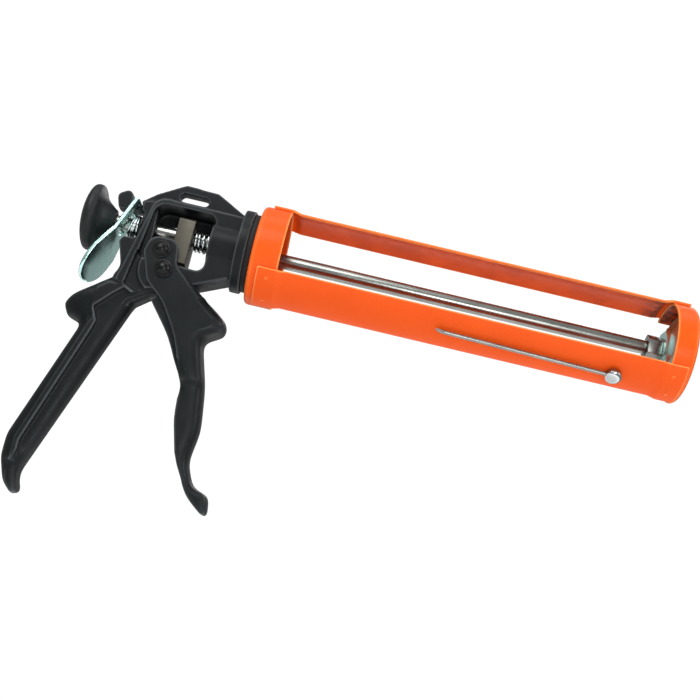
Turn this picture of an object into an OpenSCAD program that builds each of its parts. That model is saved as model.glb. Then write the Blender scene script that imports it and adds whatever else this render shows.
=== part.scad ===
// Caulking gun for standard 310 ml cartridges, with a turning cradle.
// Origin: barrel axis at the rear face of the cradle's rear cup. +X to the nozzle, +Z up.

/* [Cradle] */
// Length of the cradle over both end cups
cradle_len = 241.5; // [236:0.5:260]
// Outer radius of the end cups
cup_r = 27.25; // [27:0.05:28]
// Sheet thickness of cups and rails
sheet = 1.6; // [1.2:0.1:1.8]
// Depth of the rear cup
rear_cup_len = 15.7; // [14:0.1:20]
// Depth of the front cap
front_cap_len = 12.5; // [10:0.1:14]
// Angle that each rail covers round the barrel
rail_span = 56; // [40:1:60]
// Middle of the lower rail, turned from the top to the right-hand side
lower_rail_at = 142.6; // [135:0.1:150]
// Middle of the upper rail, turned the same way
upper_rail_at = -7.5; // [-15:0.5:-7.5]
// Half width of the nozzle slot in the front cap
nozzle_slot_r = 11; // [9:0.5:13]

/* [Rod] */
// Radius of the push rod
rod_r = 4; // [3.8:0.05:4.1]
// Rear end of the rod inside the knob
rod_rear = -90; // [-92:0.5:-87]
// Radius of the piston plate
piston_r = 23; // [20:0.5:24]
// Radius of the pull knob
knob_r = 18.6; // [17:0.1:19.5]

/* [Body] */
// Width of the thick part of the casting
body_w = 20.8; // [18:0.2:20.8]
// Width of the top rib with the hanging slot
rib_w = 10; // [8:0.5:11]
// Width of the handle between its recessed side faces
handle_w = 16; // [14:0.5:18]
// Radius of the front collar
collar_r = 22.9; // [21:0.1:24.5]
// Radius of the spring housing
housing_r = 12.9; // [12:0.1:13.5]

/* [Trigger] */
// Height of the trigger pivot below the barrel axis
pivot_drop = 22.2; // [21.5:0.1:22.8]
// Distance of the trigger pivot behind the cradle
pivot_back = 44; // [43.6:0.1:44.4]
// Outer width of the trigger at its cheeks
trigger_w = 27.6; // [27:0.2:30]
// Thickness of each cheek
cheek_t = 3; // [2.5:0.1:3]

/* [Release plate] */
// Thickness of the thumb plate
plate_t = 2.5; // [2:0.1:2.8]
// Width of the thumb plate
plate_w = 25; // [23:0.5:26]
// Lean of the plate, its foot to the rear
plate_lean = 21.9; // [21:0.1:22.5]
// Twist of the thumb lobe, its right-hand edge to the rear
lobe_twist = 15; // [8:1:16]

/* [Hidden] */

$fn = 64;
run_gap = 0.06;

// Colours
black_cast = [0.06, 0.06, 0.065];
orange_paint = [0.93, 0.33, 0.10];
zinc = [0.78, 0.80, 0.80];
steel = [0.55, 0.52, 0.47];
rubber = [0.03, 0.03, 0.03];
bronze = [0.62, 0.48, 0.28];

// Casting stations along X
neck_r = 12;
neck_front = 5;
collar_rear = -9;
collar_front = -3.4;
housing_rear = -24.7;
spring_seat = -12;
rear_post_rear = -62.5;
rear_post_front = -54;
bush_r = 7;
rear_bush_r = 6;
pivot = [-pivot_back, -pivot_drop];
pivot_bolt_r = 3;
pivot_disc_r = 14.2;
post_w = 14;
wall_t = 1.4;

// Drive
push_pin = [-47.7, -12.1];
push_pin_r = 2.5;
roller_r = 3.7;
block_rear = -43.5;
block_t = 9.2;
block_w = 17;
block_top = 10.9;
block_bottom = -17;

// Release plate
hinge = [-69, 9.5];
plate_top_reach = 4.5;
twist_from = 16.4;
twist_to = 28;
twist_steps = 6;
twist_step = (twist_to - twist_from) / twist_steps;
lobe_len = 48.6;
rod_hole_at = 10.2;
rod_hole_r = 5;
slot_half_w = 5;
slot_half_h = 2.7;
tongue_half_w = 4;

// Piston end
nut_len = 8;
nut_rear = 220;
stud_r = 3;
piston_t = 1.5;
lock_nut_len = 3.5;
rod_front = nut_rear + nut_len + piston_t + lock_nut_len + 0.8;

// Wire
wire_r = 1.1;
rivet_at = 201.3;
wire_len = 97.5;
wire_rest = -1.5;
rail_r = cup_r + 0.4;

module side_plate(width) { rotate([90, 0, 0]) linear_extrude(width, center = true) children(); }
module along_x(from, to, r) { translate([from, 0, 0]) rotate([0, 90, 0]) cylinder(h = to - from, r = r); }
module along_y(at, from, to, r) {
    translate([at.x, from, at.y]) rotate([-90, 0, 0]) cylinder(h = to - from, r = r);
}
// Turns what stands on the top to an angle towards the right-hand side, -Y
module turned(angle) { rotate([angle, 0, 0]) children(); }

// A corner of an outline, replaced by an arc of radius r
function unit(v) = v / norm(v);
function corner(before, at, after, r) =
    let (
        u = unit(before - at),
        w = unit(after - at),
        half = acos(u * w) / 2,
        centre = at + unit(u + w) * r / sin(half),
        first = at + u * r / tan(half) - centre,
        start = atan2(first.y, first.x),
        turn = (180 - 2 * half) * (cross(u, w) < 0 ? 1 : -1),
        steps = max(2, ceil(abs(turn) / 9))
    )
    r == 0 ? [at] : [for (i = [0:steps]) centre + r * [cos(start + turn * i / steps), sin(start + turn * i / steps)]];
function flat(p) = [p[0], p[1]];
// Outline from [x, z, corner radius] points
function outline(p) = [
    for (i = [0:len(p) - 1])
        each corner(flat(p[(i + len(p) - 1) % len(p)]), flat(p[i]), flat(p[(i + 1) % len(p)]), p[i][2])
];

// Coil spring along X. The lean of its rear end is X gained per mm of height.
function coil_ring(centre_x, radius, wire, angle, lean, sides) = [
    for (k = [0:sides - 1])
        let (reach = radius + wire * cos(360 * k / sides), z = reach * sin(angle))
        [centre_x + wire * sin(360 * k / sides) + lean * z, reach * cos(angle), z]
];
module coil(from, to, radius, wire, turns, lean = 0) {
    sides = 8;
    per_turn = 20;
    rings = turns * per_turn;
    travel = to - from - 2 * wire;
    points = [
        for (i = [0:rings])
            each coil_ring(from + wire + travel * i / rings, radius, wire, 360 * i / per_turn,
                lean * (1 - i / rings), sides)
    ];
    walls = [
        for (i = [0:rings - 1], k = [0:sides - 1])
            [i * sides + k, i * sides + (k + 1) % sides, (i + 1) * sides + (k + 1) % sides, (i + 1) * sides + k]
    ];
    ends = [[for (k = [0:sides - 1]) sides - 1 - k], [for (k = [0:sides - 1]) rings * sides + k]];
    polyhedron(points = points, faces = concat(walls, ends), convexity = 10);
}

// Outline from rows of [x, z, corner radius, x draw, z draw], drawn in by a share of its draws
function drawn_in(rows, share) = [for (p = rows) [p[0] + share * p[3], p[1] + share * p[4], p[2]]];

// Outlines of the casting, in X and Z
frame_line = outline([
    [-58.1, 17.1, 8], [collar_rear + 0.5, 16.6, 0], [collar_rear + 0.5, -18.2, 0], [-28.1, -27.1, 6],
    [-36, -31.5, 5], [-50, -33.4, 3], [-58, -38.4, 2], [-68.5, -33, 2], [-66.6, -25.3, 0]
]);
window_line = outline([[-56.8, 14, 7], [-23.5, 14, 5], [-24.2, -18.6, 4.5], [-37.5, -17.8, 3], [-60.4, -17.8, 3]]);
far_wall_line = outline([
    [-59, 15, 0], [-59, 5.4, 0], [-50, 5.8, 3], [-42.5, 8.2, 3], [-34, 8.2, 4], [-26, 3.4, 3], [-22, 3.4, 0], [-22, 15, 0]
]);
face_recess_line = outline([[-60.6, -14, 1], [-50, -14, 2], [-46, -42, 1], [-63.2, -34, 1]]);
rib_line = outline([
    [-66.3, 13.6, 1], [-59, 19.6, 4], [-44.5, 28.3, 3], [-26.4, 27.6, 3], [collar_rear, 18.6, 0],
    [collar_rear, -15, 0], [-55, -15, 0], [rear_post_rear, -8, 0], [rear_post_rear, 7, 2]
]);
post_line = outline([
    [-56, 15.5, 0], [-65, 13.8, 1.2], [-64.6, 8.4, 1], [rear_post_rear, 7.4, 1], [rear_post_rear, -7.4, 1],
    [-70.6, -7.8, 2.5], [-72.2, -11, 2], [-67.8, -24.6, 7], [-70.5, -30.4, 3], [-66, -40, 0], [-55, -14, 0]
]);
hook_line = outline([
    [-60, 7.6, 0], [-60, 11.4, 0], [-71, 11.4, 0.6], [-71.6, 16.6, 1.5], [-74.2, 18.9, 2], [-80.4, 15.3, 3],
    [-77.9, 7.4, 1.8], [-73, 7.6, 0]
]);

// Rear of the handle: X and Z at the side faces, X and Z at the middle of the palm, corner radius
palm_rows = [
    [-70.2, -34.2, -71, -31, 4], [-80.6, -42.6, -89.8, -44.9, 3], [-78, -47.6, -93.4, -50.2, 2.5],
    [-74.3, -55, -89.6, -57.2, 3], [-76.2, -59, -80.9, -59.3, 2], [-96.9, -126, -102.9, -125, 12],
    [-96.6, -138, -102.8, -137, 2.5]
];
tip_rows = [[-93, -147, -98.6, -149, 5], [-90.6, -154.2, -91.8, -155.6, 1.2], [-88.6, -152.4, -89.2, -152.9, 0.8], [-90.9, -146.5, -91.4, -147, 2]];
// Front of the handle at its middle: X, Z, corner radius, then how it draws in at the side faces
handle_front = [
    [-91.1, -142.4, 2, -1.2, 0.4], [-55.7, -43.4, 4, -4.2, 1.5], [-48.7, -37.6, 1, -0.8, 2.6],
    [-38, -33.5, 0, 0, 1.5], [-44, -28, 0, 0, 0], [-62, -26, 0, 0, 0]
];
front_round = 5;
band_front = [
    [-92.2, -140, 1], [-93.4, -134.5, 4], [-93.6, -127, 10], [-73.2, -62.5, 4], [-71.8, -57, 3],
    [-75.3, -49.8, 2], [-67.5, -41.2, 1], [-62, -36, 0]
];
palm_half = 9.9;
function bulge(half) = sqrt(1 - pow(min(1, half / palm_half), 2));
function front_draw(half) = 1 - sqrt(1 - pow(max(0, 1 - (handle_w / 2 - half) / front_round), 2));
function palm_line(rows, share) = [
    for (p = rows) [p[0] + share * (p[2] - p[0]), p[1] + share * (p[3] - p[1]), p[4]]
];
module handle() {
    for (half = [body_w / 2, 9.6, 9.2, 8.5])
        side_plate(2 * half) polygon(outline(concat(palm_line(palm_rows, bulge(half)), band_front)));
    for (half = [handle_w / 2, 7.2, 6.2, 5, 3.6, 2])
        side_plate(2 * half)
            polygon(outline(concat(
                palm_line(concat(palm_rows, tip_rows), bulge(half)),
                drawn_in(handle_front, front_draw(half))
            )));
}

// Hanging slot in the top rib
slot_x = [-44.2, -33.1];
slot_z = 21.2;
slot_r = 2.5;
module hang_slot() {
    hull() for (x = slot_x) along_y([x, slot_z], -rib_w, rib_w, slot_r);
}

recess_depth = 1.6;
// Below this line the pivot disc gives way to the rounded crotch
disc_foot_line = [[-70, -38.4], [-58, -38.4], [-50, -33.6], [-36, -31.7], [-28, -31.7], [-28, -60], [-70, -60]];
module body_casting() color(black_cast) difference() {
    union() {
        difference() {
            union() {
                side_plate(body_w) polygon(frame_line);
                side_plate(rib_w) polygon(rib_line);
            }
            side_plate(body_w + 2) polygon(window_line);
            for (side = [-1, 1])
                translate([0, side * (body_w - recess_depth), 0]) side_plate(body_w) polygon(face_recess_line);
        }
        translate([0, (body_w - wall_t) / 2, 0]) side_plate(wall_t) polygon(far_wall_line);
        side_plate(post_w) polygon(post_line);
        handle();
        side_plate(2 * tongue_half_w) polygon(hook_line);
        difference() {
            along_y(pivot, -body_w / 2, body_w / 2, pivot_disc_r);
            side_plate(body_w + 2) polygon(window_line);
            side_plate(body_w + 2) polygon(disc_foot_line);
        }
        along_x(housing_rear, collar_rear, housing_r);
        along_x(collar_rear, collar_front, collar_r);
        along_x(collar_front, neck_front, neck_r);
    }
    hang_slot();
    along_x(housing_rear - 1, neck_front + 1, bush_r);
    along_x(rear_post_rear - 8, rear_post_front + 4, rear_bush_r);
    along_x(-71, rear_post_rear, rear_bush_r + 1.8);
    along_y(pivot, -body_w, body_w, pivot_bolt_r);
    clip_groove();
}

clip_from = sheet + 0.35;
clip_t = 1.2;
clip_groove_r = 11;
module clip_groove() difference() {
    along_x(clip_from, clip_from + clip_t, neck_r + 1);
    along_x(clip_from - 1, clip_from + clip_t + 1, clip_groove_r);
}
module retaining_clip() color(steel) difference() {
    along_x(clip_from, clip_from + clip_t, 15);
    along_x(clip_from - 1, clip_from + clip_t + 1, clip_groove_r);
    rotate([45, 0, 0]) translate([0, -2, 0]) cube([10, 4, 20]);
}
module friction_ring() color(rubber) difference() {
    along_x(collar_front, -0.3, collar_r - 1.3);
    along_x(collar_front - 1, 1, neck_r);
}
module front_guide_bush() color(bronze) difference() {
    along_x(spring_seat, neck_front, bush_r);
    along_x(spring_seat - 1, neck_front + 1, rod_r + run_gap);
}
module rear_guide_bush() color(zinc) difference() {
    union() {
        along_x(rear_post_rear, rear_post_front - 1, rear_bush_r);
        along_x(rear_post_rear - 1, rear_post_rear, rear_bush_r + 1.5);
    }
    along_x(rear_post_rear - 2, rear_post_front + 3, rod_r + run_gap);
}

// Fasteners through the trigger's cheeks
cheek = trigger_w / 2;
washer_t = 0.8;
washer_gap = 0.3;
head_r = 3.9;
head_h = 2.4;
washer_r = 4.8;
nut_h = 2.8;
nut_r = 4.4;
dome_r = 4.6;
module bolt(at, r, gap) {
    face = cheek + washer_t + gap;
    along_y(at, -face, face + nut_h + 0.7, r);
    translate([at.x, -face, at.y]) rotate([90, 0, 0]) intersection() {
        cylinder(h = head_h, r = head_r);
        translate([0, 0, head_h - dome_r]) sphere(r = dome_r);
    }
}
module hex_nut_y(at, r, gap) {
    face = cheek + washer_t + gap;
    translate([at.x, face, at.y]) rotate([-90, 0, 0]) difference() {
        cylinder(h = nut_h, r = nut_r, $fn = 6);
        translate([0, 0, -1]) cylinder(h = nut_h + 2, r = r);
    }
}
module washer_pair(at, r, gap) {
    for (side = [-1, 1]) {
        middle = side * (cheek + gap + washer_t / 2);
        difference() {
            along_y(at, middle - washer_t / 2, middle + washer_t / 2, washer_r);
            along_y(at, middle - washer_t, middle + washer_t, r);
        }
    }
}
module pivot_bolt() color(black_cast) bolt(pivot, pivot_bolt_r, washer_gap);
module pivot_nut() color(black_cast) hex_nut_y(pivot, pivot_bolt_r, washer_gap);
module pivot_washers() color(black_cast) washer_pair(pivot, pivot_bolt_r, washer_gap);
module push_bolt() color(black_cast) bolt(push_pin, push_pin_r, 0);
module push_nut() color(black_cast) hex_nut_y(push_pin, push_pin_r, 0);
module push_washers() color(black_cast) washer_pair(push_pin, push_pin_r, 0);
module push_roller() color(steel) difference() {
    along_y(push_pin, 0.2 - cheek + cheek_t, cheek - cheek_t - 0.2, roller_r);
    along_y(push_pin, -cheek, cheek, push_pin_r);
}

// Trigger: two cheeks that straddle the casting, on a grip that is open to the rear.
// Front of the cheeks and of the grip: X, Z, corner radius, then how a side edge draws in
cheek_front = [
    [-38, -18.6, 8, 0, 0], [-14.5, -34.6, 24, -0.55, -0.8], [-4.6, -42, 1.9, -1, -0.2], [-4.4, -47.4, 1.9, -1, 0.3],
    [-15.4, -53.4, 5, -1, 0], [-8.2, -77, 0, -1, 0]
];
grip_front = [
    [-28, -29.2, 0, 0, 0], [-14.5, -34.6, 24, -0.55, -0.8], [-4.6, -42, 1.9, -1, -0.2], [-4.4, -47.4, 1.9, -1, 0.3],
    [-15.4, -53.4, 5, -1, 0], [-8, -78, 60, -1, 0], [-4.6, -101, 30, -1, 0], [-7, -118, 14, -1, 0],
    [-1.5, -130.5, 8, -0.6, -0.6], [7.6, -133, 1.5, 0, 0]
];
grip_rear = [
    [9.2, -142.6, 1.2], [8, -144.8, 1], [-3.5, -136, 20], [-13.4, -119, 30], [-19.2, -98, 40],
    [-20.8, -79.5, 20], [-32.6, -56.8, 60], [-45, -41.4, 2], [-37, -38, 4], [-29.8, -32.6, 3]
];
cheek_rear = [
    [-20.9, -79, 0], [-29.4, -56, 60], [-40.5, -39.2, 20], [-51.3, -30.2, 8], [-56.9, -14.5, 6],
    [-54.5, -5.4, 6], [-39.6, -5.2, 5.5]
];
hollow_line = outline([
    [-70, -20, 0], [-30, -33, 0], [-16.5, -40.4, 5], [-10.5, -44.8, 3], [-19.4, -53, 6], [-12.2, -78, 40],
    [-8.6, -101, 30], [-10.6, -118, 12], [-5.4, -127.5, 2], [-14, -130, 0], [-40, -130, 0], [-70, -60, 0]
]);
trigger_w_in = trigger_w - 2 * cheek_t;
blend_top = -44;
blend_lean = 6;
// Thin rear fin of each cheek, behind its side face
fin_half = 12;
fin_line = outline([
    [-26, -50, 0], [-24, -73.5, 0], [-32.6, -57, 60], [-47.2, -39.3, 0.8], [-41, -35.5, 0], [-34, -38, 0]
]);
module cheeks() difference() {
    union() {
        for (layer = [[0, 4.8], [0.6, 3.2], [1.5, 1.9], [2.6, 0.8]])
            side_plate(trigger_w - 2 * layer[0])
                polygon(outline(concat(drawn_in(cheek_front, layer[1]), cheek_rear)));
        side_plate(2 * fin_half) polygon(fin_line);
    }
    // The casting runs between the cheeks
    side_plate(trigger_w_in) polygon([[-70, 10], [-20, 10], [-20, -60], [-10, -90], [-40, -90], [-70, -40]]);
    // Below the spur the cheeks thin out into the grip
    for (side = [-1, 1])
        translate([-60, side * trigger_w / 2, blend_top]) rotate([side * blend_lean, 0, 0])
            translate([0, -trigger_w / 2 + side * trigger_w / 2, -60]) cube([80, trigger_w, 60]);
}
module trigger_lever() color(black_cast) difference() {
    union() {
        cheeks();
        for (layer = [[0, 3.6], [0.7, 2.2], [1.8, 1.1], [3.4, 0.3], [5.5, 0]])
            side_plate(trigger_w_in - 2 * layer[0])
                polygon(outline(concat(drawn_in(grip_front, layer[1]), grip_rear)));
    }
    side_plate(trigger_w_in - 2 * cheek_t) polygon(hollow_line);
    along_y(pivot, -trigger_w, trigger_w, pivot_bolt_r + run_gap);
    along_y(push_pin, -trigger_w, trigger_w, push_pin_r);
}

// Drive block with a crowned top
module drive_block() color(steel) difference() {
    intersection() {
        translate([block_rear, -block_w / 2, block_bottom]) cube([block_t, block_w, block_top - block_bottom]);
        translate([0, 0, block_top - 16]) along_x(block_rear - 1, block_rear + block_t + 1, 16);
        along_x(block_rear - 1, block_rear + block_t + 1, 18);
    }
    along_x(block_rear - 1, block_rear + block_t + 1, rod_r + run_gap);
}
spring_r = 5.5;
spring_wire = 0.75;
module return_spring() color(zinc) coil(block_rear + block_t + 0.3, spring_seat - 0.3, spring_r, spring_wire, 9);
thumb_wire = 0.7;
module thumb_spring() color(zinc)
    coil(hinge.x - 2.2, rear_post_rear - 1.3, spring_r, thumb_wire, 4, tan(plate_lean));

// Cradle
// Wedge round the X axis, from -half to +half of the top, less than a half turn in all
module wedge(half, from, to) {
    reach = 60;
    rim = [for (t = [-1:0.5:1]) reach * [cos(half * t), sin(half * t)]];
    translate([from, 0, 0]) rotate([0, 90, 0]) linear_extrude(to - from) rotate(180) polygon(concat([[0, 0]], rim));
}
cup_round = 2.5;
module cup_shell(len, r) {
    // Closed end at X = 0, with a rounded edge
    rotate([0, 90, 0]) rotate_extrude() difference() {
        union() {
            square([r - cup_round, len]);
            translate([0, cup_round]) square([r, len - cup_round]);
            translate([r - cup_round, cup_round]) circle(r = cup_round);
        }
        translate([-1, sheet]) square([r - cup_round + 1, len]);
        translate([0, cup_round]) square([r - sheet, len]);
        intersection() {
            translate([r - cup_round, cup_round]) circle(r = cup_round - sheet);
            translate([0, 0]) square([r, len]);
        }
        translate([-r, -1]) square([r, len + 2]);
    }
}
module rear_cup() color(orange_paint) difference() {
    cup_shell(rear_cup_len, cup_r);
    along_x(-1, sheet + 1, neck_r + run_gap);
}
tab_rear = 4.9;
tab_front = cradle_len - 3;
joggle_len = 4;
joggle_gap = 0.6;
rear_joggle = rear_cup_len + joggle_gap;
front_joggle = cradle_len - front_cap_len - joggle_gap;
// Radius and X along a rail's inner face: a tab on each cup, and the rail a little further in
rail_inner = [
    [cup_r, tab_rear], [cup_r, rear_joggle], [rail_r - sheet, rear_joggle + joggle_len],
    [rail_r - sheet, front_joggle - joggle_len], [cup_r, front_joggle], [cup_r, tab_front]
];
module rail(at) turned(at) intersection() {
    rotate([0, 90, 0]) rotate_extrude() polygon(concat(
        rail_inner,
        [for (i = [len(rail_inner) - 1:-1:0]) rail_inner[i] + [sheet, 0]]
    ));
    wedge(rail_span / 2, 0, cradle_len);
}
module lower_rail() color(orange_paint) difference() {
    rail(lower_rail_at);
    turned(lower_rail_at) translate([rivet_at, 0, rail_r - 5]) cylinder(h = 10, r = 1.8);
}
module upper_rail() color(orange_paint) rail(upper_rail_at);
cap_open_at = (lower_rail_at + upper_rail_at) / 2 + 180;
cap_open_half = 72;
module front_cap() color(orange_paint) difference() {
    translate([cradle_len, 0, 0]) mirror([1, 0, 0]) cup_shell(front_cap_len, cup_r);
    turned(cap_open_at) {
        wedge(cap_open_half, cradle_len - front_cap_len - 1, cradle_len - cup_round);
        translate([cradle_len - 5, -nozzle_slot_r, 0]) cube([10, 2 * nozzle_slot_r, 40]);
    }
    along_x(cradle_len - 5, cradle_len + 1, nozzle_slot_r);
}

// Piercing wire on its rivet
wire_eye_r = 3.2;
wire_lift = 1.25;
tail_h = 0.9;
tail_drop = 0.35;
module wire_rivet() color(zinc) turned(lower_rail_at) translate([rivet_at, 0, rail_r - sheet]) {
    translate([0, 0, -tail_h - tail_drop]) cylinder(h = tail_h, r = 3);
    translate([0, 0, -tail_drop - 0.1]) cylinder(h = sheet + wire_lift + 2 * wire_r + tail_drop + 0.5, r = 1.8);
    translate([0, 0, sheet + wire_lift + 2 * wire_r + 0.3]) intersection() {
        cylinder(h = 2.2, r = 4.4);
        translate([0, 0, -3.8]) sphere(r = 6);
    }
}
tip_bevel = 6;
module pierce_wire() color(zinc) turned(lower_rail_at)
    translate([rivet_at, 0, rail_r + wire_lift + wire_r]) rotate([0, 0, wire_rest]) difference() {
        union() {
            translate([0, 0, -wire_r]) cylinder(h = 2 * wire_r, r = wire_eye_r + wire_r);
            rotate([0, -90, 0]) cylinder(h = wire_len, r = wire_r);
        }
        translate([0, 0, -2 * wire_r]) cylinder(h = 4 * wire_r, r = wire_eye_r - wire_r);
        rotate([0, -90, 0]) translate([wire_r, -5, wire_len - tip_bevel]) rotate([0, -20, 0]) cube([10, 10, 10]);
    }

// Rod group
module push_rod() color(zinc) {
    along_x(rod_rear, nut_rear, rod_r);
    along_x(nut_rear, rod_front, stud_r);
}
module hex_x(from, len, across) difference() {
    translate([from, 0, 0]) rotate([0, 90, 0]) cylinder(h = len, r = across / 2 / cos(30), $fn = 6);
    along_x(from - 1, from + len + 1, stud_r);
}
module piston_nut() color(zinc) hex_x(nut_rear, nut_len, 13);
module piston_lock_nut() color(zinc) hex_x(nut_rear + nut_len + piston_t, lock_nut_len, 10);
module piston_plate() color(zinc) translate([nut_rear + nut_len, 0, 0]) rotate([0, 90, 0]) rotate_extrude()
    polygon(concat(
        [[stud_r, 0], [9, 0], [11, 0.4], [12.6, 1.3], [14, 3], [15.6, 4.2], [18, 5], [20, 6], [piston_r, 8.2], [piston_r, 10]],
        [[piston_r - piston_t, 10], [19, 7.3], [17.5, 6.6], [14.8, 5.6], [12.8, 4.2], [11.4, 2.6], [10.3, 1.8], [8.5, piston_t], [stud_r, piston_t]]
    ));
knob_rear = -95.2;
knob_front = -78;
module pull_knob() color(black_cast) rotate([0, 90, 0]) rotate_extrude() difference() {
    polygon(outline([
        [0, knob_rear, 0], [11, knob_rear, 30], [knob_r, knob_rear + 3.4, 2.6], [knob_r - 0.7, knob_rear + 9, 2],
        [knob_r - 5.6, knob_front - 6.6, 4], [8.8, knob_front - 3.4, 6], [6.4, knob_front, 0.8], [0, knob_front, 0]
    ]));
    translate([-1, rod_rear]) square([rod_r + 1, 30]);
}

// Release plate, hung on the hook through its slot
module plate_frame() translate([hinge.x, 0, hinge.y]) rotate([0, plate_lean, 0]) children();
module strip(from, to) translate([-plate_t / 2, -plate_w / 2, -to]) cube([plate_t, plate_w, to - from]);
module plate_hole(from, to, r) hull() for (reach = [from, to])
    translate([-plate_t, 0, -reach]) rotate([0, 90, 0]) cylinder(h = 2 * plate_t, r = r, $fn = 48);
module release_plate() color(zinc) plate_frame() difference() {
    union() {
        strip(-plate_top_reach, twist_from);
        for (i = [1:twist_steps])
            rotate([0, 0, -lobe_twist * i / (twist_steps + 1)])
                strip(twist_from + (i - 1) * twist_step - 0.05, twist_from + i * twist_step + 0.05);
        rotate([0, 0, -lobe_twist]) {
            strip(twist_to, lobe_len - plate_w / 2);
            translate([-plate_t / 2, 0, plate_w / 2 - lobe_len]) rotate([0, 90, 0]) cylinder(h = plate_t, r = plate_w / 2);
        }
    }
    translate([-plate_t, -slot_half_w, -slot_half_h]) cube([2 * plate_t, 2 * slot_half_w, 2 * slot_half_h]);
    plate_hole(rod_hole_at - 0.9, rod_hole_at + 1.2, rod_hole_r);
}

body_casting();
front_guide_bush();
rear_guide_bush();
friction_ring();
retaining_clip();
pivot_bolt();
pivot_nut();
pivot_washers();
rear_cup();
upper_rail();
lower_rail();
front_cap();
wire_rivet();
pierce_wire();
push_rod();
pull_knob();
piston_nut();
piston_plate();
piston_lock_nut();
trigger_lever();
push_bolt();
push_nut();
push_washers();
push_roller();
drive_block();
return_spring();
release_plate();
thumb_spring();
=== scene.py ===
"""Looks of a caulking gun with a turning cradle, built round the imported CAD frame."""

import math  # noqa: E402

import bmesh  # noqa: E402
import bpy  # noqa: E402
import numpy as np  # noqa: E402
from mathutils import Matrix, Vector  # noqa: E402


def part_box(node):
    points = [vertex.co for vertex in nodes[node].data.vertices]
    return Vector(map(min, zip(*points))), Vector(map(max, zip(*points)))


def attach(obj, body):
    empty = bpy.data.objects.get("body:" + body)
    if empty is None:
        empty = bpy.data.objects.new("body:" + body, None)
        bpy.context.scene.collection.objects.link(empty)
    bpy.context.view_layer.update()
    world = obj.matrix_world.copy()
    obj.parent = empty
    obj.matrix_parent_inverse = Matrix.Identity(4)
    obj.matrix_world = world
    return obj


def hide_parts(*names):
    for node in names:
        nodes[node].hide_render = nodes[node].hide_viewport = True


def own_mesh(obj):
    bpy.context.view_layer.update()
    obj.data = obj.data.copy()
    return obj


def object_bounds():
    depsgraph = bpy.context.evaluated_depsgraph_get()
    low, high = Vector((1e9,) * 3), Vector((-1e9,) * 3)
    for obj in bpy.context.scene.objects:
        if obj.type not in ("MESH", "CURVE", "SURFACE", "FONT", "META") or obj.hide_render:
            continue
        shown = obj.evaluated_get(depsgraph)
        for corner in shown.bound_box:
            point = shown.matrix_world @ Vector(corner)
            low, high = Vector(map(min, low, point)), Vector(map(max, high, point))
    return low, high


MM = 0.001

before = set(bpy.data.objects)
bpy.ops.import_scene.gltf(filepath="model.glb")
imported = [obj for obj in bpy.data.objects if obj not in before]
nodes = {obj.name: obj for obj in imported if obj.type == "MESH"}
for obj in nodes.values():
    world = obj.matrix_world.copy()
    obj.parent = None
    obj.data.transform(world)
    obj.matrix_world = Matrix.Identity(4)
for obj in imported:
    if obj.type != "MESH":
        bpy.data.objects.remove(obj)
cad_low, cad_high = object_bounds()


# ---------------------------------------------------------------- materials
# Noise scales are per metre, bump depths are in metres

# Pointiness at which the painted highlight on a convex edge starts to show, and at which it shows
# fully
EDGE_RANGE = (0.506, 0.545)


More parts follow.
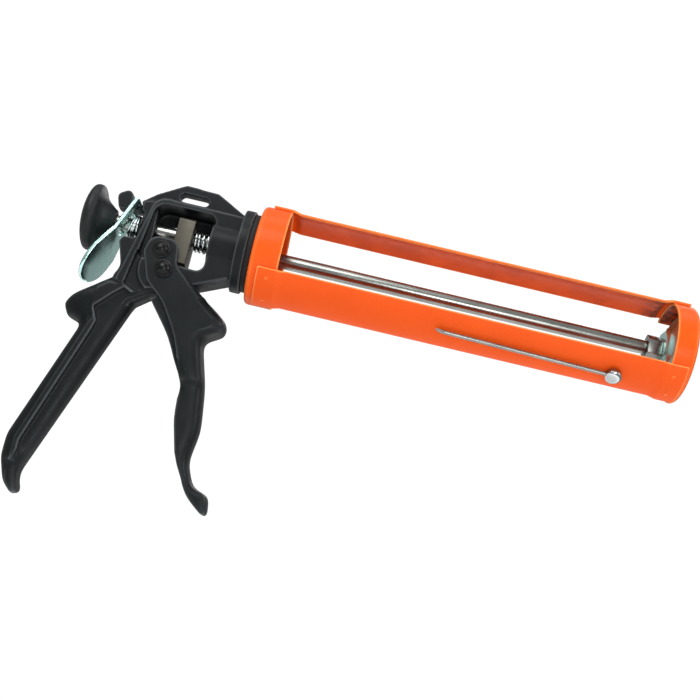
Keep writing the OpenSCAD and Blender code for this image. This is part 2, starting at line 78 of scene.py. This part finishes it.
class Shader:
    """One procedural material, in object coordinates, which are the frame's metres."""

    def __init__(self, name, color, roughness, metallic=0.0, specular=0.5, coat=0.0,
                 coat_roughness=0.1):
        self.material = bpy.data.materials.new(name)
        self.material.use_nodes = True
        self.material.diffuse_color = (*color, 1)
        tree = self.material.node_tree
        self.nodes = tree.nodes
        self.links = tree.links
        self.surface = next(n for n in self.nodes if n.type == "BSDF_PRINCIPLED")
        self.color = color
        self.surface.inputs["Base Color"].default_value = (*color, 1)
        self.surface.inputs["Metallic"].default_value = metallic
        self.surface.inputs["Roughness"].default_value = roughness
        self.surface.inputs["Specular IOR Level"].default_value = specular
        self.surface.inputs["Coat Weight"].default_value = coat
        self.surface.inputs["Coat Roughness"].default_value = coat_roughness
        self.place = self.nodes.new("ShaderNodeTexCoord").outputs["Object"]
        self.color_out = None
        self.height_out = None

    def noise(self, scale, stretch=(1, 1, 1), detail=4, roughness=0.55):
        mapping = self.nodes.new("ShaderNodeMapping")
        mapping.inputs["Scale"].default_value = stretch
        self.links.new(self.place, mapping.inputs["Vector"])
        noise = self.nodes.new("ShaderNodeTexNoise")
        noise.inputs["Scale"].default_value = scale
        noise.inputs["Detail"].default_value = detail
        noise.inputs["Roughness"].default_value = roughness
        self.links.new(mapping.outputs["Vector"], noise.inputs["Vector"])
        return noise.outputs["Fac"]

    def ramp(self, source, low, high, start=0.35, end=0.65):
        """Maps source from start..end to low..high."""
        remap = self.nodes.new("ShaderNodeMapRange")
        remap.inputs["From Min"].default_value = start
        remap.inputs["From Max"].default_value = end
        remap.inputs["To Min"].default_value = low
        remap.inputs["To Max"].default_value = high
        self.links.new(source, remap.inputs["Value"])
        return remap.outputs["Result"]

    def ramp_mm(self, source, low, high, span):
        """The same, over a span in millimetres."""
        return self.ramp(source, low, high, span[0] * MM, span[1] * MM)

    def along(self, axis):
        """The coordinate on one axis."""
        split = self.nodes.new("ShaderNodeSeparateXYZ")
        self.links.new(self.place, split.inputs["Vector"])
        return split.outputs[axis]

    def barrel_radius(self):
        """Distance from the X axis."""
        flat = self.nodes.new("ShaderNodeVectorMath")
        flat.operation = "MULTIPLY"
        flat.inputs[1].default_value = (0, 1, 1)
        self.links.new(self.place, flat.inputs[0])
        length = self.nodes.new("ShaderNodeVectorMath")
        length.operation = "LENGTH"
        self.links.new(flat.outputs["Vector"], length.inputs[0])
        return length.outputs["Value"]

    def both(self, first, second):
        """High only where both factors are."""
        product = self.nodes.new("ShaderNodeMath")
        product.operation = "MULTIPLY"
        self.links.new(first, product.inputs[0])
        self.links.new(second, product.inputs[1])
        return product.outputs["Value"]

    def tint(self, factor, color):
        """Mixes a colour in where factor is high."""
        mix = self.nodes.new("ShaderNodeMix")
        mix.data_type = "RGBA"
        self.links.new(factor, mix.inputs["Factor"])
        if self.color_out is None:
            mix.inputs["A"].default_value = (*self.color, 1)
        else:
            self.links.new(self.color_out, mix.inputs["A"])
        mix.inputs["B"].default_value = (*color, 1)
        self.color_out = mix.outputs["Result"]
        self.links.new(self.color_out, self.surface.inputs["Base Color"])
        return self

    def rough(self, factor):
        self.links.new(factor, self.surface.inputs["Roughness"])
        return self

    def edges(self, color, amount):
        """Painted highlight: lightens convex edges, where light would catch them."""
        geometry = self.nodes.new("ShaderNodeNewGeometry")
        return self.tint(self.ramp(geometry.outputs["Pointiness"], 0, amount, *EDGE_RANGE), color)

    def bump(self, source, strength, depth):
        bump = self.nodes.new("ShaderNodeBump")
        bump.inputs["Strength"].default_value = strength
        bump.inputs["Distance"].default_value = depth
        self.links.new(source, bump.inputs["Height"])
        if self.height_out is not None:
            self.links.new(self.height_out, bump.inputs["Normal"])
        self.height_out = bump.outputs["Normal"]
        self.links.new(self.height_out, self.surface.inputs["Normal"])
        return self


def powder_coat(name, color, light, edge_highlight, roughness):
    """Satin powder coat over a casting: fine pebble, soft patches, and a painted highlight on the
    edges.
    """
    s = Shader(name, color, roughness=roughness, coat=0.02, coat_roughness=0.3, specular=0.18)
    s.tint(s.ramp(s.noise(70), 0, 0.5), light)
    # Painted highlight along convex edges
    s.edges(edge_highlight, amount=0.75)
    s.rough(s.ramp(s.noise(160, detail=5), roughness - 0.06, roughness + 0.08))
    s.bump(s.noise(1500, detail=2), 0.18, 0.00005)
    s.bump(s.noise(160, detail=3), 0.08, 0.0002)
    return s.material


# The cradle's sheet, in mm: X of its two end faces, its inner radius, and where its front end
# begins, each as the start and end of a soft change
REAR_FACE_X = (1.2, 1.8)
FRONT_FACE_X = (240.2, 240.8)
INSIDE_R = (26.6, 27)
FRONT_END_X = (214, 226)


def gloss_paint(name, color, pale, deep, inside_shade, front_end_shade_and_marks):
    """Paint on the cradle's sheet, with painted shade inside it, and inside its front end dark
    mottled patches of painted shade and press marks.
    """
    s = Shader(name, color, roughness=0.38, coat=0.06, coat_roughness=0.14, specular=0.12)
    s.tint(s.ramp(s.noise(45), 0, 0.35), deep)
    # A faint pale speckle of tone
    s.tint(s.ramp(s.noise(1300, detail=2), 0, 0.05), pale)
    x = s.along("X")
    between = s.both(s.ramp_mm(x, 0, 1, REAR_FACE_X), s.ramp_mm(x, 1, 0, FRONT_FACE_X))
    inside = s.both(between, s.ramp_mm(s.barrel_radius(), 1, 0, INSIDE_R))
    # Painted shade over the inside of the sheet, in soft patches
    s.tint(s.both(inside, s.ramp(s.noise(60), 0.25, 0.6)), inside_shade)
    # Inside the front end, dark mottled patches: painted shade, and the crumpled press marks there
    front_end = s.both(inside, s.ramp_mm(x, 0, 1, FRONT_END_X))
    s.tint(s.both(front_end, s.ramp(s.noise(330, detail=3), 0.25, 0.9, 0.42, 0.56)), front_end_shade_and_marks)
    # Painted highlight along convex edges
    s.edges(pale, amount=0.75)
    s.rough(s.ramp(s.noise(240), 0.32, 0.44))
    s.bump(s.noise(620, detail=2), 0.1, 0.0001)
    return s.material


def plated(name, color, dull, roughness, grain, relief=0.15):
    """Bright zinc plate. The grain is the stretch of its rolling or drawing marks."""
    s = Shader(name, color, metallic=1.0, roughness=roughness)
    s.tint(s.ramp(s.noise(90, detail=5), 0, 0.45), dull)
    s.tint(s.ramp(s.noise(14, stretch=grain, detail=6, roughness=0.7), 0, 0.35, 0.42, 0.62), dull)
    s.rough(s.ramp(s.noise(12, stretch=grain, detail=6), roughness - 0.04, roughness + 0.1))
    s.bump(s.noise(16, stretch=grain, detail=6, roughness=0.75), relief, 0.00004)
    s.bump(s.noise(2600, detail=2), 0.3 * relief, 0.00003)
    return s.material


def sintered(name, color, dark, oily):
    """Pressed and sintered metal: fine grain, oil stains, and a painted highlight on its edges."""
    s = Shader(name, color, metallic=0.8, roughness=0.42)
    s.tint(s.ramp(s.noise(2400, detail=2), 0, 0.5), dark)
    s.tint(s.ramp(s.noise(60, stretch=(1, 1, 0.3), detail=4), 0, 0.5), oily)
    # Painted highlight along convex edges
    s.edges(tuple(1.7 * c for c in color), amount=0.6)
    s.rough(s.ramp(s.noise(500), 0.34, 0.52))
    s.bump(s.noise(2600, detail=2), 0.3, 0.00005)
    return s.material


def moulded(name, color, light, roughness):
    """Moulded plastic or rubber with a fine matt texture and a painted highlight on its edges."""
    s = Shader(name, color, roughness=roughness, specular=0.22)
    s.tint(s.ramp(s.noise(110), 0, 0.5), light)
    # Painted highlight along convex edges
    s.edges(tuple(2.2 * c for c in light), amount=0.6)
    s.rough(s.ramp(s.noise(300), roughness - 0.05, roughness + 0.07))
    s.bump(s.noise(1900, detail=2), 0.14, 0.00004)
    return s.material


# Stretch of the grain on each axis
ALL_WAYS = (4, 4, 4)
ALONG_X = (1, 34, 34)
ACROSS_X = (14, 3, 1.2)

# The last colour of black_coat and of black_oxide is a painted highlight on their convex edges
black_coat = powder_coat(
    "black_coat", (0.0036, 0.0054, 0.0062), (0.0085, 0.0112, 0.0125), (0.095, 0.105, 0.11), 0.43)
# The two darkest colours of orange_coat are painted shade inside the cradle, and its pale colour
# also paints the highlight on the edges
orange_coat = gloss_paint(
    "orange_coat", (0.85, 0.089, 0.004), pale=(1.0, 0.40, 0.11), deep=(0.77, 0.071, 0.003),
    inside_shade=(0.42, 0.034, 0.003), front_end_shade_and_marks=(0.10, 0.014, 0.004))
zinc_sheet = plated("zinc_sheet", (0.62, 0.93, 0.88), (0.56, 0.86, 0.81), 0.22, ACROSS_X, 0.03)
zinc_bar = plated("zinc_bar", (0.40, 0.42, 0.39), (0.20, 0.21, 0.195), 0.24, ALONG_X)
zinc_worn = plated("zinc_worn", (0.34, 0.34, 0.32), (0.2, 0.2, 0.185), 0.22, ALL_WAYS, 0.08)
zinc_small = plated("zinc_small", (0.62, 0.66, 0.66), (0.42, 0.45, 0.45), 0.16, ALL_WAYS, 0.04)
sintered_steel = sintered(
    "sintered_steel", (0.072, 0.067, 0.054), (0.042, 0.039, 0.031), (0.058, 0.054, 0.043))
black_oxide = powder_coat(
    "black_oxide", (0.0035, 0.0038, 0.0042), (0.007, 0.0074, 0.008), (0.02, 0.02, 0.021), 0.26)
knob_plastic = moulded("knob_plastic", (0.008, 0.0096, 0.0105), (0.0145, 0.0168, 0.0178), 0.45)
rubber = moulded("rubber", (0.007, 0.007, 0.007), (0.012, 0.012, 0.012), 0.62)
bronze = sintered("bronze", (0.40, 0.28, 0.13), (0.24, 0.16, 0.08), (0.30, 0.20, 0.10))


# ---------------------------------------------------------------- mesh helpers

# Points closer than this, in metres, are one point
SAME_POINT = 1e-6
# Degrees: faces that lie flatter than the first merge, edges sharper than the second are bevelled
FLAT_ANGLE = 0.6
BEVEL_ANGLE = 28
TUBE_SIDES = 14
LATHE_STEPS = 128


def link(name, mesh, material, body, slot, *stands_for):
    """Adds one piece to the scene, on its body."""
    piece = bpy.data.objects.new(name, mesh)
    bpy.context.scene.collection.objects.link(piece)
    mesh.materials.clear()
    mesh.materials.append(material)
    mesh.shade_smooth()
    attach(piece, body)
    if stands_for:
        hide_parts(*stands_for)
    return piece


def welded_copy(node):
    """A copy of a CAD node's mesh, with the corners that its faces share merged."""
    mesh = nodes[node].data.copy()
    work = bmesh.new()
    work.from_mesh(mesh)
    bmesh.ops.remove_doubles(work, verts=work.verts, dist=SAME_POINT)
    work.to_mesh(mesh)
    work.free()
    return mesh


def remeshed(mesh, voxel):
    """The mesh as one even skin of voxel-sized faces."""
    holder = bpy.data.objects.new("holder", mesh)
    bpy.context.scene.collection.objects.link(holder)
    skin = holder.modifiers.new("skin", "REMESH")
    skin.mode = "VOXEL"
    skin.voxel_size = voxel
    bpy.context.view_layer.update()
    depsgraph = bpy.context.evaluated_depsgraph_get()
    result = bpy.data.meshes.new_from_object(holder.evaluated_get(depsgraph))
    bpy.data.objects.remove(holder)
    return result


def relax(mesh, passes, weight=None):
    """Moves each point towards its neighbours' mean, by its weight, to turn edges into fillets."""
    points = np.zeros(len(mesh.vertices) * 3)
    mesh.vertices.foreach_get("co", points)
    points = points.reshape(-1, 3)
    pairs = np.zeros(len(mesh.edges) * 2, np.int64)
    mesh.edges.foreach_get("vertices", pairs)
    first, second = pairs.reshape(-1, 2).T
    count = np.bincount(np.concatenate([first, second]), minlength=len(points))
    share = np.ones(len(points)) if weight is None else weight(points)
    for _ in range(passes):
        total = np.stack([
            np.bincount(first, points[second, k], len(points))
            + np.bincount(second, points[first, k], len(points))
            for k in range(3)
        ], axis=1)
        points = points + 0.5 * share[:, None] * (total / count[:, None] - points)
    mesh.vertices.foreach_set("co", points.ravel())
    mesh.update()


def bevelled(node, material, width):
    """Keeps the CAD node, and gives it soft edges and a material."""
    piece = nodes[node]
    piece.data.materials.clear()
    piece.data.materials.append(material)
    piece.data.shade_smooth()
    weld = piece.modifiers.new("weld", "WELD")
    weld.merge_threshold = SAME_POINT
    planar = piece.modifiers.new("planar", "DECIMATE")
    planar.decimate_type = "DISSOLVE"
    planar.angle_limit = math.radians(FLAT_ANGLE)
    bevel = piece.modifiers.new("bevel", "BEVEL")
    bevel.width = width
    bevel.segments = 3
    bevel.limit_method = "ANGLE"
    bevel.angle_limit = math.radians(BEVEL_ANGLE)
    bevel.harden_normals = True


def tube(path, radius):
    """A round bar along a path, with flat ends."""
    path = np.array(path)
    along = np.gradient(path, axis=0)
    along /= np.linalg.norm(along, axis=1)[:, None]
    across = np.cross(along, (1.0, 0.0, 0.0))
    across /= np.linalg.norm(across, axis=1)[:, None]
    third = np.cross(along, across)
    turn = np.linspace(0, 2 * math.pi, TUBE_SIDES, endpoint=False)[None, :, None]
    outward = np.cos(turn) * across[:, None] + np.sin(turn) * third[:, None]
    rings = path[:, None] + radius * outward
    faces = []
    for start in range(0, (len(path) - 1) * TUBE_SIDES, TUBE_SIDES):
        for k in range(TUBE_SIDES):
            following = (k + 1) % TUBE_SIDES
            faces.append((start + k, start + following,
                          start + TUBE_SIDES + following, start + TUBE_SIDES + k))
    last = (len(path) - 1) * TUBE_SIDES
    faces.append(tuple(reversed(range(TUBE_SIDES))))
    faces.append(tuple(range(last, last + TUBE_SIDES)))
    mesh = bpy.data.meshes.new("tube")
    mesh.from_pydata(rings.reshape(-1, 3).tolist(), [], faces)
    mesh.update()
    return mesh


def lathe(profile):
    """Turns (x, radius) points round the X axis."""
    work = bmesh.new()
    points = [work.verts.new((x, 0, r)) for x, r in profile]
    edges = [work.edges.new(pair) for pair in zip(points, points[1:])]
    bmesh.ops.spin(work, geom=points + edges, axis=(1, 0, 0), cent=(0, 0, 0),
                   angle=2 * math.pi, steps=LATHE_STEPS, use_merge=True)
    bmesh.ops.remove_doubles(work, verts=work.verts, dist=0.1 * SAME_POINT)
    bmesh.ops.recalc_face_normals(work, faces=work.faces)
    mesh = bpy.data.meshes.new("lathe")
    work.to_mesh(mesh)
    work.free()
    return mesh


# ---------------------------------------------------------------- castings

VOXEL = 0.5 * MM
# Lines of the castings in X and Z, in mm, from top to bottom
PALM_EDGE = ((-76.2, -59), (-96.9, -126), (-96.6, -138))
HANDLE_FRONT = ((-55.7, -43.4), (-91.1, -142.4))
TRIGGER_FRONT = ((-14.5, -34.6), (-4.6, -42), (-4.4, -47.4), (-15.4, -53.4), (-8.2, -77),
                 (-4.6, -101), (-7, -118), (-1.5, -130.5))
# Tops of the rounded palm, of the handle's rounded front and of the trigger's rounded front,
# and the end of the trigger's cheeks, in mm on Z
PALM_TOP = -36
HANDLE_FRONT_TOP = -45
TRIGGER_FRONT_TOP = -33
CHEEK_END = -77.5


def ahead_of(points, line, offset):
    """How far each point is ahead of a line that is moved forward by offset, all in mm."""
    x, z = (np.array(v)[::-1] for v in zip(*line))
    return points[:, 0] / MM - offset - np.interp(points[:, 2] / MM, z, x)


def casting_weight(points):
    """1 on the rounded palm and along the rounded front of the handle, 0 between them."""
    z = points[:, 2] / MM
    palm = np.clip(-ahead_of(points, PALM_EDGE, 0.3) / 1.2, 0, 1)
    front = np.clip(ahead_of(points, HANDLE_FRONT, -6.5) / 2.5, 0, 1)
    return np.maximum(np.where(z < PALM_TOP, palm, 0), np.where(z < HANDLE_FRONT_TOP, front, 0))


def trigger_weight(points):
    """1 along the rounded front of the trigger, and where its cheeks run out into the grip."""
    z = points[:, 2] / MM
    front = np.clip(ahead_of(points, TRIGGER_FRONT, -8) / 4, 0, 1)
    run_out = np.clip(1.5 - np.abs(z - CHEEK_END) / 7, 0, 1)
    return np.maximum(np.where(z < TRIGGER_FRONT_TOP, front, 0), run_out)


def cast_piece(name, node, body, passes, extra, weight):
    """Stands for a cast node: fillets from the passes, and the weighted parts rounder by extra."""
    mesh = remeshed(welded_copy(node), VOXEL)
    relax(mesh, passes)
    relax(mesh, extra, weight)
    link(name, mesh, black_coat, body, "black_casting", node)


cast_piece("casting", "body_casting", "root", 4, 70, casting_weight)
cast_piece("trigger", "trigger_lever", "trigger", 5, 100, trigger_weight)


# ---------------------------------------------------------------- pressed sheet

SHEET_PASSES = 3
for sheet in ("rear_cup", "front_cap", "upper_rail", "lower_rail"):
    sheet_mesh = remeshed(welded_copy(sheet), VOXEL)
    relax(sheet_mesh, SHEET_PASSES)
    link("painted_" + sheet, sheet_mesh, orange_coat, "cradle", "orange_paint", sheet)


# ---------------------------------------------------------------- thumb plate

PLATE_VOXEL = 0.42 * MM
PLATE_PASSES = 16
plate_mesh = remeshed(welded_copy("release_plate"), PLATE_VOXEL)
relax(plate_mesh, PLATE_PASSES)
link("thumb_plate", plate_mesh, zinc_sheet, "release", "zinc_plate", "release_plate")


# ---------------------------------------------------------------- knob

knob_low, knob_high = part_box("pull_knob")
KNOB_R = knob_high.z
KNOB_BACK = knob_low.x
KNOB_FRONT = knob_high.x
ROD_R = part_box("push_rod")[1].z
knob_profile = [
    (KNOB_BACK + 0.35 * MM, 0.0),
    (KNOB_BACK + 0.25 * MM, 3 * MM),
    (KNOB_BACK + 0.1 * MM, 7 * MM),
    (KNOB_BACK + 0.5 * MM, 11 * MM),
    (KNOB_BACK + 1.6 * MM, 14.6 * MM),
    (KNOB_BACK + 3.0 * MM, KNOB_R - 0.9 * MM),
    (KNOB_BACK + 4.4 * MM, KNOB_R - 0.1 * MM),
    (KNOB_BACK + 5.4 * MM, KNOB_R),
    (KNOB_BACK + 6.9 * MM, KNOB_R - 0.2 * MM),
    (KNOB_BACK + 7.9 * MM, KNOB_R - 1.0 * MM),
    (KNOB_BACK + 8.6 * MM, KNOB_R - 2.3 * MM),
    (KNOB_BACK + 9.2 * MM, KNOB_R - 4.0 * MM),
    (KNOB_BACK + 10.1 * MM, KNOB_R - 5.8 * MM),
    (KNOB_BACK + 11.7 * MM, KNOB_R - 7.9 * MM),
    (KNOB_BACK + 13.8 * MM, KNOB_R - 9.6 * MM),
    (KNOB_FRONT - 1.2 * MM, 7.0 * MM),
    (KNOB_FRONT - 0.3 * MM, 6.5 * MM),
    (KNOB_FRONT, 6.0 * MM),
    (KNOB_FRONT - 0.1 * MM, ROD_R),
]


def smooth_profile(points):
    """Two rounds of corner cutting, with both ends kept."""
    for _ in range(2):
        cut = [points[0]]
        for (ax, ar), (bx, br) in zip(points, points[1:]):
            cut.append((0.75 * ax + 0.25 * bx, 0.75 * ar + 0.25 * br))
            cut.append((0.25 * ax + 0.75 * bx, 0.25 * ar + 0.75 * br))
        points = cut + [points[-1]]
    return points


link("knob", lathe(smooth_profile(knob_profile)), knob_plastic, "rod", "black_plastic", "pull_knob")


# ---------------------------------------------------------------- piston dish

dish_low, dish_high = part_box("piston_plate")
DISH_R = dish_high.z / MM
# X ahead of the nut and radius, in mm, over the rear face, round the rim and back inside
DISH = (
    (0, 3), (0, 8.6), (0.3, 10.8), (1.3, 12.6), (3.1, 14.1), (4.3, 15.9), (5.1, 18.2), (6.1, 20.2),
    (8, DISH_R - 0.3), (8.6, DISH_R), (10, DISH_R), (10, DISH_R - 1.5), (9, DISH_R - 1.6),
    (7.4, 19), (6.6, 17.5), (5.6, 14.8), (4.2, 12.8), (2.6, 11.4), (1.8, 10.3), (1.5, 8.5),
    (1.5, 3),
)
dish_profile = smooth_profile([(dish_low.x + x * MM, r * MM) for x, r in DISH])
link("piston_dish", lathe(dish_profile), zinc_sheet, "rod", "zinc_plate", "piston_plate")


# ---------------------------------------------------------------- springs

# Turns at each end of a spring that lie against each other
CLOSED_TURNS = 1.2
STEPS_PER_TURN = 36


def helix(low, high, radius, wire, turns, lean):
    """Centre line of a coil spring along X, with closed end turns. The lean tips its low end."""
    open_turns = turns - 2 * CLOSED_TURNS
    closed_rise = 2.05 * wire
    rise = (high - low - 2 * wire - 2 * CLOSED_TURNS * closed_rise) / open_turns
    steps = int(turns * STEPS_PER_TURN)
    path = []
    for i in range(steps + 1):
        turn = turns * i / steps
        x = low + wire + closed_rise * min(turn, CLOSED_TURNS)
        x += rise * min(max(turn - CLOSED_TURNS, 0), open_turns)
        x += closed_rise * max(turn - CLOSED_TURNS - open_turns, 0)
        angle = 2 * math.pi * turn
        z = radius * math.sin(angle)
        path.append((x + lean * z * (1 - i / steps), radius * math.cos(angle), z))
    return path


def spring(name, node, wire, turns, lean=0.0):
    """Stands for a spring node with a coil of wire."""
    low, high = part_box(node)
    radius = high.z - wire
    low_x = low.x + lean * radius
    coil = tube(helix(low_x, high.x, radius, wire, turns, lean), wire)
    piece = link(name, coil, zinc_small, "root", "zinc_plate", node)
    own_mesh(piece)


WIRE_R = 0.75 * MM
PLATE_LEAN = math.tan(math.radians(21.9))
spring("return_coil", "return_spring", WIRE_R, 9)
spring("thumb_coil", "thumb_spring", WIRE_R, 3.8, PLATE_LEAN)


# ---------------------------------------------------------------- kept CAD nodes

BLACK_STEEL_NODES = ("rear_guide_bush", "pivot_bolt", "pivot_nut", "pivot_washers",
                     "push_bolt", "push_nut", "push_washers")
# Nodes, material, slot, and bevel width in mm
KEPT_NODES = (
    (("push_rod",), zinc_bar, "zinc_plate", 0.5),
    (("piston_nut", "piston_lock_nut", "pierce_wire"), zinc_worn, "zinc_plate", 0.35),
    (("wire_rivet",), zinc_small, "zinc_plate", 0.35),
    (("drive_block", "push_roller", "retaining_clip"), sintered_steel, "bare_steel", 0.45),
    (BLACK_STEEL_NODES, black_oxide, "black_steel", 0.25),
    (("friction_ring",), rubber, "rubber_ring", 0.4),
    (("front_guide_bush",), bronze, "bronze_bush", 0.3),
)
for names, material, slot, width in KEPT_NODES:
    for node in names:
        bevelled(node, material, width * MM)


# ---------------------------------------------------------------- spot welds

RAIL_FACE_R = 28.85 * MM
WELD_R = 0.8 * MM
WELD_DEPTH = 0.2 * MM


# X in mm, and degrees from the top to the right-hand side
LOWER_SPOTS = ((10.7, 126), (10.7, 156.5), (232, 129), (232.4, 155))
UPPER_SPOTS = ((10.7, -27), (10.7, 12), (232, -27), (232, 12))


def weld_marks(spots):
    """Low domes on the rail tabs."""
    work = bmesh.new()
    flatten = Matrix.Diagonal((WELD_R, WELD_R, WELD_DEPTH, 1))
    dome = Matrix.Translation((0, 0, RAIL_FACE_R)) @ flatten
    for x, angle in spots:
        made = bmesh.ops.create_uvsphere(work, u_segments=20, v_segments=12, radius=1)
        turn = Matrix.Translation((x * MM, 0, 0)) @ Matrix.Rotation(math.radians(angle), 4, "X")
        bmesh.ops.transform(work, verts=made["verts"], matrix=turn @ dome)
    mesh = bpy.data.meshes.new("weld_marks")
    work.to_mesh(mesh)
    work.free()
    link("weld_marks", mesh, orange_coat, "cradle", "orange_paint")


weld_marks(LOWER_SPOTS + UPPER_SPOTS)


# ---------------------------------------------------------------- studio

FLOOR_DROP = 260 * MM
FLOOR_REACH = 0.85


def make_floor():
    """A pale disc below the object, which glows towards its rim to meet the background."""
    work = bmesh.new()
    bmesh.ops.create_circle(work, cap_ends=True, segments=96, radius=FLOOR_REACH)
    mesh = bpy.data.meshes.new("floor")
    work.to_mesh(mesh)
    work.free()
    floor = bpy.data.objects.new("floor", mesh)
    floor.location = (0, 0, cad_low.z - FLOOR_DROP)
    bpy.context.scene.collection.objects.link(floor)
    shade = Shader("floor_paint", (0.93, 0.93, 0.93), roughness=0.9)
    shade.tint(shade.ramp(shade.noise(3), 0, 0.3), (0.9, 0.9, 0.9))
    reach = shade.nodes.new("ShaderNodeVectorMath")
    reach.operation = "LENGTH"
    shade.links.new(shade.place, reach.inputs[0])
    shade.surface.inputs["Emission Color"].default_value = (1, 1, 1, 1)
    glow = shade.ramp(reach.outputs["Value"], 0, 1, 0.5 * FLOOR_REACH, FLOOR_REACH)
    shade.links.new(glow, shade.surface.inputs["Emission Strength"])
    mesh.materials.append(shade.material)


def direction(azimuth, elevation):
    """Away from the object, in degrees. Azimuth 0 is its right-hand side, and 90 its front."""
    a, e = math.radians(azimuth), math.radians(elevation)
    return Vector((math.sin(a) * math.cos(e), -math.cos(a) * math.cos(e), math.sin(e)))


def soft_box(name, azimuth, elevation, distance, width, height, power):
    """An area light that faces the object's middle."""
    back = direction(azimuth, elevation)
    data = bpy.data.lights.new(name, "AREA")
    data.shape = "RECTANGLE"
    data.size = width
    data.size_y = height
    data.energy = power
    lamp = bpy.data.objects.new(name, data)
    middle = (cad_low + cad_high) / 2
    facing = (-back).to_track_quat("-Z", "Y").to_matrix().to_4x4()
    lamp.matrix_world = Matrix.Translation(middle + back * distance) @ facing
    bpy.context.scene.collection.objects.link(lamp)


# Name, azimuth and elevation in degrees, distance, width and height in metres, power in watts
LIGHTS = (
    ("key", -30, 40, 1.3, 0.9, 0.7, 10.5),
    ("fill", 12, -4, 1.5, 0.6, 0.5, 5.5),
    ("top", 10, 85, 1.2, 1.2, 0.5, 3.5),
    ("rim", 160, 35, 1.4, 0.9, 0.6, 4),
    ("side", 68, 24, 1.3, 0.4, 0.7, 6),
)
# Strength of the background as seen, and of its light from below and from above
SEEN_GLOW = 1.05
GLOW_BELOW = 0.3
GLOW_ABOVE = 0.42


def make_world():
    """A white studio, with more light from above than from below."""
    world = bpy.data.worlds.new("studio")
    world.use_nodes = True
    bpy.context.scene.world = world
    tree = world.node_tree
    background = tree.nodes["Background"]
    path = tree.nodes.new("ShaderNodeLightPath")
    strength = tree.nodes.new("ShaderNodeMix")
    strength.inputs["B"].default_value = SEEN_GLOW
    toward = tree.nodes.new("ShaderNodeTexCoord")
    split = tree.nodes.new("ShaderNodeSeparateXYZ")
    tree.links.new(toward.outputs["Generated"], split.inputs["Vector"])
    rise = tree.nodes.new("ShaderNodeMapRange")
    rise.inputs["From Min"].default_value = -0.25
    rise.inputs["From Max"].default_value = 0.7
    rise.inputs["To Min"].default_value = GLOW_BELOW
    rise.inputs["To Max"].default_value = GLOW_ABOVE
    tree.links.new(split.outputs["Z"], rise.inputs["Value"])
    tree.links.new(rise.outputs["Result"], strength.inputs["A"])
    background.inputs["Color"].default_value = (1, 1, 1, 1)
    tree.links.new(path.outputs["Is Camera Ray"], strength.inputs["Factor"])
    tree.links.new(strength.outputs["Result"], background.inputs["Strength"])


# Camera: the point it faces and its distance in mm, its angles in degrees, its lens in mm
TARGET = (62.638, 0, -39.335)
DISTANCE = 630.15
AZIMUTH = -0.568
ELEVATION = -11.0
ROLL = 13.162
LENS = 59.87


def make_camera():
    """From the right-hand side, a little below, with the frame tilted."""
    target = Vector(TARGET) * MM
    distance = DISTANCE * MM
    roll = math.radians(ROLL)
    back = direction(AZIMUTH, ELEVATION)
    right = (-back).cross(Vector((0, 0, 1))).normalized()
    up = right.cross(-back)
    x_axis = math.cos(roll) * right + math.sin(roll) * up
    y_axis = math.cos(roll) * up - math.sin(roll) * right
    turn = Matrix((x_axis, y_axis, back)).transposed().to_4x4()
    data = bpy.data.cameras.new("camera")
    data.sensor_width = 36.0
    data.lens = LENS
    data.clip_start = 0.01
    data.clip_end = 50.0
    camera = bpy.data.objects.new("camera", data)
    camera.matrix_world = Matrix.Translation(target + back * distance) @ turn
    bpy.context.scene.collection.objects.link(camera)
    bpy.context.scene.camera = camera


make_floor()
make_world()
make_camera()
for light in LIGHTS:
    soft_box(*light)
bpy.context.scene.view_settings.view_transform = "Standard"
